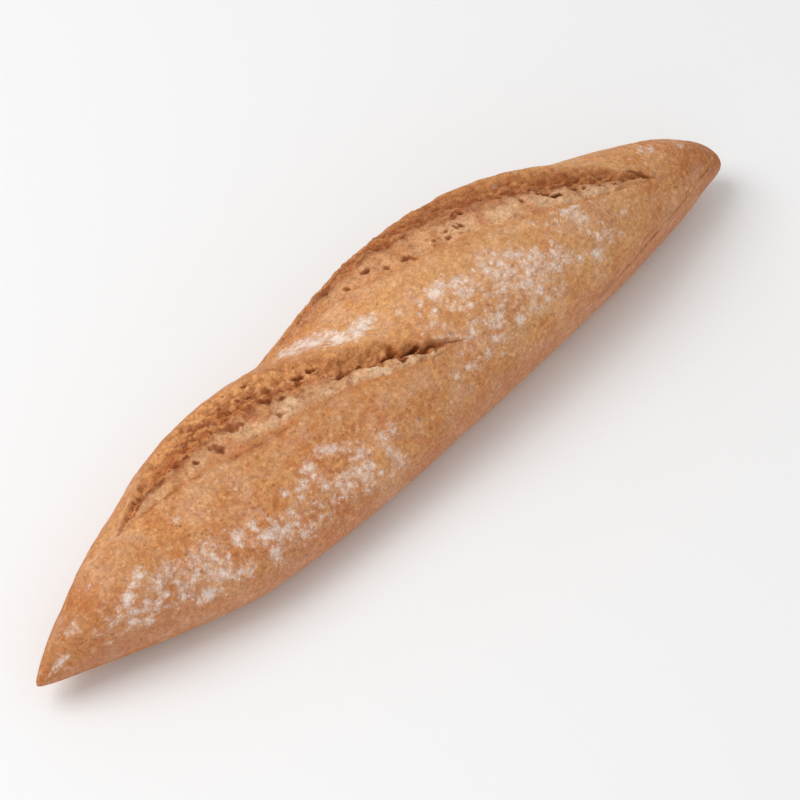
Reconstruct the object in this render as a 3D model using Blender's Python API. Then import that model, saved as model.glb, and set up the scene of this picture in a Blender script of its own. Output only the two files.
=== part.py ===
"""A small wholemeal bread roll of the pointed, hand-shaped kind, with two long slashes.

The long axis is X, from the near, sharper tip at -X to the far, blunter tip at +X.
The near side is -Y, the far side +Y, and the roll rests on the plane z = 0 on its
flat underside, with the origin under the middle of its length. Each slash has a
near lip, where the crust thins out into torn crumb, and a far lip, which stands up
as a steep edge. The strip of crust left between the slashes crosses the roll.
All sizes below are in millimetres and degrees, and the mesh is built in metres.
"""

import bpy
import bmesh
import numpy as np

MM = 0.001

LENGTH = 250.0          # tip to tip
WIDEST_AT = 0.42        # height of the widest line, as a share of the height
FAR_WIDTH = 1.10        # far half-width against near half-width
SPINE_BEND = 4.45       # sideways bow of the middle towards the far side
SPINE_SWAY = 0.65       # the two halves' shift to opposite sides, in a slack S
SIDE_SHIFT = 8.11       # brings the middle of the whole width over the origin
TIP_LIFT = 8.3          # how far the underside curls up at each tip
FLAT_SHARE = 0.36       # share of the half-length that rests flat
TIP_ROUNDING = 30       # higher is a shorter rounding at the tips
SIDE_FULLNESS = 0.97    # exponent of the crown's curve
SOLE_EDGE = 0.6         # exponent of the edge between side and underside

# Sections along the roll: position, near half-width, height without the swelling.
STATIONS = np.array([-125, -112, -90, -60, -25, 15, 50, 80, 104, 117, 125], float)
HALF_WIDTHS = np.array([2.1, 6.5, 14.7, 22.5, 24.3, 23.1, 19.9, 15.7, 10.6, 6.8, 6.0])
HEIGHTS = np.array([3.1, 15.8, 27.3, 27.6, 28.2, 34.3, 36.1, 33.3, 24.0, 14.5, 8.3])

# Each slash runs from START to END along X. Angles go round the section from the
# near side (0) over the crown (90) to the far side (180). A bend moves the near lip
# up the roll: by how much, around which share of the slash, and over what reach.
# Pinch is how much of that the far lip stays behind. Trough, ear and foot are given
# for the first and the last part of a slash: how deep the torn bed sinks, how high
# the far lip stands, and at which share of the opening the far wall starts to rise.
SLASHES = (
    dict(start=-90.0, end=15.0, near_start=112.0, near_end=52.1,
         bend=(6.0, 0.65, 0.14), pinch=1.0, opening=44.0, skew=0.77, blunt=1.0,
         swell=6.8, swell_skew=1.0, swell_reach=38.5,
         trough=(0.7, 2.5), ear=(0.3, 1.3), foot=(0.82, 0.58), crest=0.8),
    dict(start=-25.0, end=93.0, near_start=124.0, near_end=54.8,
         bend=(19.0, 0.0, 0.27), pinch=0.0, opening=64.0, skew=0.92, blunt=0.8,
         swell=9.1, swell_skew=0.88, swell_reach=75.0,
         trough=(0.6, 2.3), ear=(0.1, 1.1), foot=(0.80, 0.56), crest=0.9),
)
BRIDGE_DIP = 1.35       # how much less the strip between the slashes has risen
BRIDGE_AT = (-15.0, 118.0)
BRIDGE_REACH = (12.0, 22.0)

RINGS = 99              # around the roll, from tip to tip
LINES = 60              # along the roll
LINE_SHARES = (0.0, 12 / 60, 43 / 60, 50 / 60, 54 / 60, 55 / 60, 56 / 60, 57 / 60, 1.0)
LINE_ANGLES = (-22.0, 57.0, 165.0, 200.0, 235.0, 250.0, 290.0, 305.0, 338.0)
SLANT = 0.58            # degrees round the roll per mm along it that the lines follow
SLANT_REACH = 92.0      # they slant this far from the middle
SLANT_NEAR = ((-22.0, 0.0), (57.0, 1.0), (108.0, 1.0), (200.0, 0.0))
SLANT_FAR = ((-22.0, 0.0), (57.0, 1.0), (160.0, 1.0), (200.0, 0.0))


def ramp(low, high, value):
    """Smooth step from 0 at low to 1 at high."""
    t = np.clip((value - low) / (high - low), 0.0, 1.0)
    return t * t * (3.0 - 2.0 * t)


def arch(share, power):
    """0 at both ends of a slash, 1 in its middle."""
    return np.sin(np.pi * np.clip(share, 0.0, 1.0)) ** power


def station_curve(values, x):
    """Smooth curve through the values at the stations, without overshoot."""
    step = np.diff(STATIONS)
    slope = np.diff(values) / step
    tangent = np.zeros(len(values))
    tangent[0], tangent[-1] = slope[0], slope[-1]
    rising = slope[:-1] * slope[1:] > 0
    w1, w2 = 2 * step[1:] + step[:-1], step[1:] + 2 * step[:-1]
    safe = np.where(rising, slope[:-1] * slope[1:], 1.0)
    mean = (w1 + w2) * safe / np.where(rising, w1 * slope[1:] + w2 * slope[:-1], 1.0)
    tangent[1:-1] = np.where(rising, mean, 0.0)
    i = np.clip(np.searchsorted(STATIONS, x) - 1, 0, len(step) - 1)
    h = step[i]
    t = (x - STATIONS[i]) / h
    return ((1 + 2 * t) * (1 - t) ** 2 * values[i] + t * (1 - t) ** 2 * h * tangent[i]
            + t * t * (3 - 2 * t) * values[i + 1] - t * t * (1 - t) * h * tangent[i + 1])


def slanted(line, x):
    """Angle of a mesh line at x: over the crown the lines run along the slashes."""
    near = np.interp(line, *zip(*SLANT_NEAR))
    far = np.interp(line, *zip(*SLANT_FAR))
    x = SLANT_REACH * np.tanh(x / SLANT_REACH)
    return line - SLANT * x * np.where(x < 0.0, near, far)


def crags(x, angle):
    """Uneven lumps of torn crumb, between -1 and 1."""
    u, v = x, angle * 0.42
    u, v = u + 1.7 * np.sin(0.31 * v + 0.9), v + 1.5 * np.sin(0.27 * u + 2.1)
    lumps = (np.sin(0.71 * u + 0.4) * np.sin(0.83 * v + 1.3)
             + 0.7 * np.sin(0.52 * u - 0.61 * v + 2.6)
             + 0.6 * np.sin(1.13 * u + 0.37 * v + 5.1))
    return lumps / 2.0


def slash_relief(x, angle, cut):
    """Height over the plain skin that one slash gives, and where its crumb shows."""
    share = (x - cut["start"]) / (cut["end"] - cut["start"])
    along = np.clip(share, 0.0, 1.0)
    amount, at, reach = cut["bend"]
    bend = amount * np.exp(-((along - at) / reach) ** 2)
    near = cut["near_start"] + (cut["near_end"] - cut["near_start"]) * share + bend
    opening = cut["opening"] * arch(along ** cut["skew"], cut["blunt"])
    opening = np.maximum(opening - cut["pinch"] * bend * np.minimum(1.0, opening / 20.0), 0.0)
    centre = near + 0.6 * opening
    swell = cut["swell"] * arch(along ** cut["swell_skew"], 1.4) * np.exp(
        -((angle - centre) / cut["swell_reach"]) ** 2)

    span = np.maximum(opening, 1e-3)
    across = (angle - near) / span
    last = ramp(0.3, 0.75, along)
    trough, ear, foot = (cut[key][0] + (cut[key][1] - cut[key][0]) * last
                         for key in ("trough", "ear", "foot"))
    wide = np.minimum(1.0, opening / 14.0)
    trough, ear, crest = trough * wide, ear * wide, cut["crest"] * wide

    bed = (-0.4 * wide * ramp(0.0, 0.10, across)
           + crest * ramp(0.05, 0.25, across) * (1.0 - ramp(0.30, 0.60, across))
           - trough * ramp(0.30, foot, across))
    wall = ramp(foot, 1.0, across)
    bed = bed * (1.0 - wall) + ear * wall
    beyond = ear * (1.0 - ramp(0.0, 16.0, angle - near - opening))
    before = 0.6 * wide * ramp(-16.0, -1.5, angle - near) * (1.0 - ramp(0.0, 0.05, across))
    inside = (across > 0.0) & (across < 1.0) & (opening > 0.5)
    relief = np.where(across >= 1.0, beyond, np.where(across <= 0.0, before, bed + before))
    relief = np.where(opening > 0.5, relief, 0.0)
    crumb = np.where(inside, ramp(0.0, 0.08, across) * (1.0 - ramp(0.80, 1.0, across)), 0.0)
    return swell, relief, crumb * wide


def surface(s, angle):
    """Points of the skin at s from -1 to 1 along the roll and angle round it."""
    s, angle = np.broadcast_arrays(s, angle)
    x = 0.5 * LENGTH * s
    out = np.abs(s)
    tip = np.sqrt(np.clip(1.0 - out ** TIP_ROUNDING, 0.0, 1.0))
    half_width = station_curve(HALF_WIDTHS, x) * tip
    height = station_curve(HEIGHTS, x) * tip
    turn = np.radians(angle)
    side, rise = np.cos(turn), np.sin(turn)
    up, down = np.clip(rise, 0.0, 1.0), np.clip(-rise, 0.0, 1.0)
    half_width = np.where(side > 0.0, half_width, FAR_WIDTH * half_width)
    lift = TIP_LIFT * np.clip((out - FLAT_SHARE) / (1.0 - FLAT_SHARE), 0.0, 1.0) ** 2.4
    spine = (SPINE_BEND + 2.6 * SPINE_SWAY * s) * (1.0 - s * s)

    raised = -BRIDGE_DIP * np.exp(-((x - BRIDGE_AT[0]) / BRIDGE_REACH[0]) ** 2
                                  - ((angle - BRIDGE_AT[1]) / BRIDGE_REACH[1]) ** 2)
    crumb = np.zeros_like(x)
    for cut in SLASHES:
        swell, relief, torn = slash_relief(x, angle, cut)
        raised = raised + swell + relief
        crumb = np.maximum(crumb, torn)
    raised = raised + 0.55 * crumb * crags(x, angle)
    raised = raised * tip

    reach = np.where(rise < 0.0, np.sign(side) * np.abs(side) ** SOLE_EDGE, side)
    y = spine - SIDE_SHIFT - half_width * reach - raised * side
    z = lift + height * (WIDEST_AT + (1.0 - WIDEST_AT) * up ** SIDE_FULLNESS
                         - WIDEST_AT * np.minimum(1.0, 1.06 * down ** 0.8)) + raised * up
    return x, y, z


def crust_material():
    """Brown wholemeal crust: dull, dry and a little warm."""
    material = bpy.data.materials.new("wholemeal_crust")
    material.use_nodes = True
    shader = material.node_tree.nodes["Principled BSDF"]
    shader.inputs["Base Color"].default_value = (0.50, 0.24, 0.10, 1.0)
    shader.inputs["Roughness"].default_value = 0.75
    return material


def bread_roll(collection):
    """The whole roll in one closed body, drawn out of a sphere along X."""
    shape = bmesh.new()
    bmesh.ops.create_uvsphere(shape, u_segments=LINES, v_segments=RINGS + 1, radius=1.0)
    start = np.array([vertex.co[:] for vertex in shape.verts])
    ring = 2.0 * np.arccos(np.clip(-start[:, 2], -1.0, 1.0)) / np.pi - 1.0
    s = 0.7 * ring + 0.3 * np.sin(0.5 * np.pi * ring)
    line = np.mod(np.arctan2(start[:, 1], start[:, 0]) / (2.0 * np.pi), 1.0)
    angle = slanted(np.interp(line, LINE_SHARES, LINE_ANGLES), 0.5 * LENGTH * s)
    x, y, z = surface(s, angle)
    for vertex, point in zip(shape.verts, np.stack([x, y, z], axis=1) * MM):
        vertex.co = point
    bmesh.ops.triangulate(shape, faces=shape.faces[:])
    bmesh.ops.recalc_face_normals(shape, faces=shape.faces[:])
    mesh = bpy.data.meshes.new("bread_roll")
    shape.to_mesh(mesh)
    shape.free()
    mesh.materials.append(crust_material())
    roll = bpy.data.objects.new("bread_roll", mesh)
    collection.objects.link(roll)
    return roll


def main():
    for old in list(bpy.data.objects):
        bpy.data.objects.remove(old)
    collection = bpy.data.collections.new("wholemeal_bread_roll")
    bpy.context.scene.collection.children.link(collection)
    bread_roll(collection)


main()
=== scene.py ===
"""A small pointed wholemeal bread roll with two long slashes, floury and baked brown.

Sizes are in metres. The roll's own relief is worked out in millimetres and degrees:
x runs along the roll, the angle goes round it from the near side over the crown.
"""

import math

import bpy
import numpy as np
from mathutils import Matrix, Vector, noise


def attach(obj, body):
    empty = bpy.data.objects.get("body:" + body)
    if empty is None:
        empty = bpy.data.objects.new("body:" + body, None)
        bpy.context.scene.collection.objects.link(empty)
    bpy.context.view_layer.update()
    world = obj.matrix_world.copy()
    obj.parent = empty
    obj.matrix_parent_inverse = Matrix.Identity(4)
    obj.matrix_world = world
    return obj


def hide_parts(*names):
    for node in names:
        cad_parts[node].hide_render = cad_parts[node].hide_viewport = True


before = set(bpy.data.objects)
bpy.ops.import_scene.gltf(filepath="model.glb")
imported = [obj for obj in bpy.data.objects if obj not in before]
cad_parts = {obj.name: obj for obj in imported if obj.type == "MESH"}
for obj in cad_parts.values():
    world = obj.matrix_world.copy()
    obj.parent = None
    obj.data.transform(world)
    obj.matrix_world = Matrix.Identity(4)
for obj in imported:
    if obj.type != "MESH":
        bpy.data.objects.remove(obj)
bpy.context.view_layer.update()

bl_info = {
    "name": "Wholemeal Bread Roll",
    "version": (1, 0, 0),
    "blender": (4, 5, 0),
    "location": "View3D > Sidebar > Bread",
    "description": "Builds a slashed wholemeal bread roll and a plain studio for it",
    "category": "Add Mesh",
}

MM = 0.001
NODE = "bread_roll"

# The dough's form, as baked.
LENGTH = 250.0
WIDEST_AT = 0.42
FAR_WIDTH = 1.10
SPINE_BEND = 4.45
SPINE_SWAY = 0.65
SIDE_SHIFT = 8.11
TIP_LIFT = 8.3
FLAT_SHARE = 0.36
TIP_ROUNDING = 30
SIDE_FULLNESS = 0.97
SOLE_EDGE = 0.6
STATIONS = np.array([-125, -112, -90, -60, -25, 15, 50, 80, 104, 117, 125], float)
HALF_WIDTHS = np.array([2.1, 6.5, 14.7, 22.5, 24.3, 23.1, 19.9, 15.7, 10.6, 6.8, 6.0])
HEIGHTS = np.array([3.1, 15.8, 27.3, 27.6, 28.2, 34.3, 36.1, 33.3, 24.0, 14.5, 8.3])
# Each slash runs from start to end along x. near_start and near_end are the angles of its
# near lip there, bend bows that lip (degrees, share along, reach), pinch is how far the bow
# narrows the slash, opening is its widest angle, and skew and blunt shape its outline. The
# dough bulges by swell round it. trough, ear and foot are the depth of its bed, the height
# of its far lip and where its far wall starts, each at its start and at its end. crest is
# the height of the bed beside the near lip. At the end, closing is how far the cut runs
# shallow, and soft is how far below the far lip the crumb's colour gives way to the crust's.
# seam and pale are how red the near lip and how pale the crumb beside it are.
SLASHES = (
    dict(start=-90.0, end=15.0, near_start=112.0, near_end=52.1,
         bend=(6.0, 0.65, 0.14), pinch=1.0, opening=44.0, skew=0.77, blunt=1.0,
         swell=6.8, swell_skew=1.0, swell_reach=38.5,
         trough=(0.7, 2.5), ear=(0.3, 1.3), foot=(0.82, 0.58), crest=0.8, seam=1.0,
         closing=0.0, soft=0.04, pale=1.0),
    dict(start=-25.0, end=93.0, near_start=124.0, near_end=54.8,
         bend=(19.0, 0.0, 0.27), pinch=0.0, opening=64.0, skew=0.92, blunt=0.8,
         swell=9.1, swell_skew=0.88, swell_reach=75.0,
         trough=(0.6, 2.3), ear=(0.1, 1.1), foot=(0.80, 0.56), crest=0.9, seam=0.45,
         closing=0.4, soft=0.22, pale=0.75),
)
BRIDGE_DIP = 1.35
BRIDGE_AT = (-15.0, 118.0)
BRIDGE_REACH = (12.0, 22.0)
ARC = 0.45              # mm round the roll for one degree, over the crown
TIP_LIFT_CURVE = 2.4    # how late the underside lifts towards the tips
SOLE_CUT = 1.06         # the underside's curve is cut flat where it would pass its depth
SOLE_CURVE = 0.8

# Relief of torn crumb and crust, in mm, unless another unit is given.
RAGGED = 2.4            # degrees by which the lips wander
CRAG_HEIGHT = 0.55
BUBBLE_SIZE = 3.1
BUBBLE_DEPTH = 0.50     # more in the few bubbles that stand open
HOLLOW_DEPTH = 0.16     # in every bubble
FOAM_SIZE = 1.25
STRAND_DEPTH = 0.40
SPLIT_DEPTH = 0.7       # broken groove along the foot of the far wall
SLOW_DENTS = 0.24
FINE_DENTS = 0.13
CRACK_DEPTH = 0.7
RIM_DEPTH = 0.4

FLOUR_SPREAD = 1.35     # how far a patch of flour reaches past its listed radius
HAZE = 0.48             # thickness of the flour between the patches
CLUMP_ANGLE = 50.0      # about this angle the flour's noise is fitted to the narrower tips
GRAIN_RADII = (0.06, 0.17)
SQUARE_MM = 1.0e6       # in a square metre

MAX_TRIANGLES = 200000
BED_MARGIN = 4.0        # degrees past both lips that get the finer mesh
# What the camera looks at, in mm: over the floor, then moved right and down in the picture.
AIM_HEIGHT, AIM_RIGHT, AIM_DOWN = 18.0, 0.08, 4.87

# How the mesh lines run: closer together over the crown and slanted like the slashes.
LINE_SHARES = (0.0, 0.22, 0.78, 0.86, 0.91, 0.93, 0.965, 0.98, 1.0)
LINE_ANGLES = (-22.0, 57.0, 165.0, 200.0, 235.0, 250.0, 290.0, 305.0, 338.0)
SLANT = 0.58
SLANT_REACH = 92.0
SLANT_NEAR = ((-22.0, 0.0), (57.0, 1.0), (108.0, 1.0), (200.0, 0.0))
SLANT_FAR = ((-22.0, 0.0), (57.0, 1.0), (160.0, 1.0), (200.0, 0.0))

# Larger holes torn open in the crumb: x, angle, radius, depth, and stretch along x.
PORES = (
    (-89.6, 117.5, 0.9, 0.7, 1.6), (-82.8, 127.5, 1.0, 0.7, 1.6),
    (-79.4, 127.4, 0.9, 0.7, 1.4), (-75.6, 130.9, 1.0, 0.7, 2.0),
    (-74.4, 117.4, 1.2, 1.0, 1.6), (-62.4, 111.4, 1.0, 0.9, 1.2),
    (-65.8, 113.5, 1.2, 0.7, 1.6), (-61.9, 103.8, 1.0, 0.7, 1.2),
    (-55.6, 100.8, 2.3, 0.8, 1.2), (-45.5, 121.1, 0.9, 0.8, 1.2),
    (-40.5, 116.5, 1.1, 1.0, 1.3), (-37.1, 114.8, 1.1, 1.0, 1.2),
    (-36.5, 119.4, 1.1, 0.8, 1.8), (-48.8, 102.1, 1.7, 0.6, 2.2),
    (-36.8, 102.7, 1.3, 1.0, 1.9), (-34.2, 96.8, 1.0, 0.8, 1.0),
    (-37.9, 91.7, 1.0, 0.5, 1.4), (-25.9, 104.4, 1.5, 1.2, 1.8),
    (-21.9, 101.7, 1.2, 1.0, 1.8), (-21.6, 88.7, 0.7, 0.6, 1.5),
    (-19.0, 85.6, 1.3, 0.9, 1.5), (-12.3, 84.9, 1.2, 0.8, 1.5),
    (-11.1, 80.5, 1.4, 1.0, 1.6), (-5.6, 77.2, 1.3, 1.1, 1.8),
    (-3.8, 69.8, 1.1, 0.8, 1.6), (1.2, 70.0, 1.6, 1.4, 2.2),
    (5.3, 64.3, 1.3, 1.2, 1.6), (4.1, 61.3, 0.9, 0.7, 1.4),
    (0.3, 136.7, 1.4, 1.0, 1.5), (2.9, 123.4, 0.8, 0.7, 1.3),
    (8.2, 120.8, 1.1, 0.8, 2.2), (12.9, 113.7, 1.2, 0.6, 1.5),
    (17.2, 109.2, 1.1, 0.7, 1.7), (21.9, 119.8, 1.2, 1.0, 1.4),
    (18.7, 105.2, 1.3, 0.6, 1.2), (25.3, 104.3, 1.1, 0.9, 1.4),
    (29.7, 105.0, 0.9, 0.8, 1.1), (29.1, 102.1, 0.8, 0.8, 1.1),
    (33.1, 102.1, 1.1, 0.9, 1.3), (35.7, 108.6, 1.5, 0.8, 2.4),
    (46.1, 115.6, 1.4, 0.9, 1.8), (53.2, 127.9, 1.4, 1.0, 1.6),
    (47.7, 102.2, 1.1, 0.8, 1.3), (57.0, 117.7, 1.2, 0.8, 1.4),
    (54.6, 96.2, 1.3, 0.9, 1.5), (51.3, 93.0, 1.0, 0.7, 1.3),
    (58.4, 90.5, 1.8, 1.4, 1.6), (60.5, 84.8, 1.5, 1.2, 1.5),
    (65.8, 82.5, 0.8, 0.7, 1.6), (69.0, 80.0, 0.7, 0.6, 1.5),
    (73.3, 76.5, 0.8, 0.7, 1.7), (77.9, 85.0, 1.0, 0.8, 1.4),
    (82.1, 80.2, 1.0, 0.9, 1.4), (78.4, 70.6, 0.9, 0.7, 1.2),
)
# Small pits in the plain crust, in the same terms, and a crack past the second slash.
DENTS = ((98.1, 33.8, 0.9, 0.5, 1.3), (101.8, 29.0, 0.7, 0.4, 1.3), (65.6, 5.0, 0.8, 0.4, 1.2))
CRACK = ((85.5, 75.2), (87.4, 70.5), (89.1, 66.1), (90.3, 58.6))
# The crease above the underside's edge at the blunter end: x, angle.
RIM = ((60.0, 1.0), (78.0, 3.6), (88.0, 5.8), (96.0, 8.0), (104.0, 13.0), (112.0, 18.5),
       (118.0, 27.0))
# Where flour has stuck: x, angle, radius, and how thickly.
FLOUR = (
    (-19, 126, 1.8, 1.10), (-17, 122, 2.2, 1.20), (-62, 50, 1.8, 0.90), (9, 88, 3.2, 0.22),
    (-113, 80, 1.6, 0.48), (-112, 65, 1.0, 0.29), (-119, 47, 1.8, 0.53), (-122, 44, 1.0, 0.41),
    (-117, 42, 0.9, 0.29), (-109, 45, 1.0, 0.35), (-105, 39, 1.6, 0.59), (-106, 18, 1.6, 0.29),
    (-104, 102, 1.0, 0.26), (-102, 77, 1.4, 0.24), (-99, 54, 1.4, 1.08), (-94, 66, 1.6, 0.97),
    (-96, 62, 1.6, 0.65), (-92, 48, 1.8, 0.97), (-100, 25, 1.6, 0.41), (-97, 18, 1.3, 0.97),
    (-96, 33, 1.8, 0.76), (-92, 23, 1.4, 0.65), (-86, 31, 2.6, 0.65), (-82, 18, 2.6, 0.97),
    (-81, 42, 1.8, 0.87), (-77, 30, 2.5, 0.97), (-80, 60, 1.0, 0.76), (-77, 87, 1.3, 0.54),
    (-76, 49, 2.0, 0.54), (-67, 51, 2.0, 0.97), (-68, 56, 1.1, 0.76), (-65, 43, 1.4, 0.65),
    (-61, 40, 2.0, 1.08), (-61, 52, 1.1, 0.65), (-61, 26, 1.7, 0.87), (-54, 35, 2.1, 0.87),
    (-52, 44, 1.0, 0.76), (-70, 31, 2.1, 0.54), (-50, 56, 1.1, 0.87), (-45, 53, 1.7, 0.73),
    (-41, 60, 1.7, 0.73), (-36, 63, 1.7, 0.73), (-33, 60, 1.1, 0.73), (-40, 32, 1.8, 0.76),
    (-34, 41, 1.1, 0.76), (-30, 35, 2.7, 0.97), (-28, 46, 1.6, 0.97), (-20, 44, 1.7, 0.76),
    (-20, 25, 2.0, 0.67), (-14, 119, 2.0, 1.17), (-12, 111, 2.3, 1.17), (-11, 104, 1.7, 1.17),
    (-7, 99, 1.8, 1.28), (-4, 99, 1.7, 1.17), (-2, 98, 1.7, 1.17), (5, 92, 1.3, 0.47),
    (15, 85, 1.7, 0.85), (18, 87, 1.4, 0.85), (20, 81, 1.7, 0.67), (20, 69, 1.9, 0.85),
    (16, 73, 1.3, 0.67), (23, 75, 1.6, 0.57), (26, 65, 1.6, 0.85), (23, 59, 1.1, 0.67),
    (25, 50, 1.1, 0.76), (30, 39, 1.6, 0.85), (34, 74, 1.3, 0.95), (39, 71, 1.8, 1.04),
    (37, 55, 1.8, 0.76), (40, 58, 2.0, 0.67), (39, 46, 1.8, 0.67), (42, 47, 1.8, 0.76),
    (43, 65, 1.1, 0.57), (43, 34, 1.3, 0.47), (43, 63, 2.0, 0.76), (50, 57, 1.4, 0.85),
    (51, 51, 1.1, 0.76), (43, 53, 2.4, 0.67), (47, 48, 1.9, 0.67), (61, 37, 1.8, 0.95),
    (67, 37, 1.6, 0.76), (71, 36, 1.0, 0.57), (57, 44, 1.0, 0.57), (97, 94, 1.8, 0.76),
    (99, 93, 1.1, 0.67), (109, 81, 1.6, 0.57), (111, 75, 1.1, 0.47), (-84, 158, 2.2, 0.80),
    (-78, 171, 2.8, 0.80), (-52, 186, 2.4, 0.80), (-44, 178, 2.0, 0.80), (-9, 205, 2.6, 0.98),
    (4, 196, 2.2, 0.80), (38, 204, 2.8, 0.80), (52, 189, 2.3, 0.80), (60, 182, 2.0, 0.80),
    (88, 150, 2.2, 0.80),
)


def ramp(low, high, value):
    """Smooth step from 0 at low to 1 at high."""
    t = np.clip((value - low) / (high - low), 0.0, 1.0)
    return t * t * (3.0 - 2.0 * t)


def arch(share, power):
    """0 at both ends of a slash, 1 in its middle."""
    return np.sin(np.pi * np.clip(share, 0.0, 1.0)) ** power


def station_curve(values, x):
    """Smooth curve through the values at the stations, without overshoot."""
    step = np.diff(STATIONS)
    slope = np.diff(values) / step
    tangent = np.zeros(len(values))
    tangent[0], tangent[-1] = slope[0], slope[-1]
    rising = slope[:-1] * slope[1:] > 0
    w1, w2 = 2 * step[1:] + step[:-1], step[1:] + 2 * step[:-1]
    safe = np.where(rising, slope[:-1] * slope[1:], 1.0)
    mean = (w1 + w2) * safe / np.where(rising, w1 * slope[1:] + w2 * slope[:-1], 1.0)
    tangent[1:-1] = np.where(rising, mean, 0.0)
    i = np.clip(np.searchsorted(STATIONS, x) - 1, 0, len(step) - 1)
    h = step[i]
    t = (x - STATIONS[i]) / h
    return ((1 + 2 * t) * (1 - t) ** 2 * values[i] + t * (1 - t) ** 2 * h * tangent[i]
            + t * t * (3 - 2 * t) * values[i + 1] - t * t * (1 - t) * h * tangent[i + 1])


def slanted(line, x):
    """Angle of a mesh line at x: over the crown the lines run along the slashes."""
    near = np.interp(line, *zip(*SLANT_NEAR))
    far = np.interp(line, *zip(*SLANT_FAR))
    x = SLANT_REACH * np.tanh(x / SLANT_REACH)
    return line - SLANT * x * np.where(x < 0.0, near, far)


def crags(x, angle):
    """Uneven lumps of torn crumb, between -1 and 1."""
    u, v = x, angle * 0.42
    u, v = u + 1.7 * np.sin(0.31 * v + 0.9), v + 1.5 * np.sin(0.27 * u + 2.1)
    lumps = (np.sin(0.71 * u + 0.4) * np.sin(0.83 * v + 1.3)
             + 0.7 * np.sin(0.52 * u - 0.61 * v + 2.6)
             + 0.6 * np.sin(1.13 * u + 0.37 * v + 5.1))
    return lumps / 2.0


def cloud(x, angle, size, seed, octaves=3):
    """Soft noise about 0, with lumps of the given size in mm, on the unrolled skin."""
    scale = 1.0 / size
    return np.array([
        noise.fractal((a * scale, b * ARC * scale, seed), 1.0, 2.0, octaves)
        for a, b in zip(x.tolist(), angle.tolist())
    ])


def strands(x, angle, seed):
    """Noise drawn out along the slashes, as the dough tore: 6 mm by 1.3 mm."""
    v = (angle + SLANT * x) * ARC
    return np.array([noise.fractal((a / 6.0, b / 1.3, seed), 1.0, 2.0, 3)
                     for a, b in zip(x.tolist(), v.tolist())])


def foam(x, angle, size, seed):
    """Round hollows of the given spacing in mm: 1 in each hollow's middle, 0 on the
    walls between them, and a number from 0 to 1 that is the same all over a hollow."""
    u = x / size + 0.35 * cloud(x, angle, 2.0 * size, seed + 3.0, 2)
    v = angle * ARC / size + 0.35 * cloud(x, angle, 2.0 * size, seed + 9.0, 2)
    hollow, number = [], []
    for a, b in zip(u.tolist(), v.tolist()):
        reach, centres = noise.voronoi((a, b, seed))
        middle = centres[0]
        hollow.append(reach[0])
        number.append((math.sin(12.99 * middle.x + 78.23 * middle.y) * 43758.5) % 1.0)
    return np.clip(1.0 - (np.array(hollow) / 0.62) ** 2, 0.0, 1.0), np.array(number)


def slash_lines(share, cut):
    """Angle of the near lip and width of the opening, in degrees."""
    along = np.clip(share, 0.0, 1.0)
    amount, at, reach = cut["bend"]
    bend = amount * np.exp(-((along - at) / reach) ** 2)
    near = cut["near_start"] + (cut["near_end"] - cut["near_start"]) * share + bend
    opening = cut["opening"] * arch(along ** cut["skew"], cut["blunt"])
    opening = np.maximum(opening - cut["pinch"] * bend * np.minimum(1.0, opening / 20.0), 0.0)
    return near, opening


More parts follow.
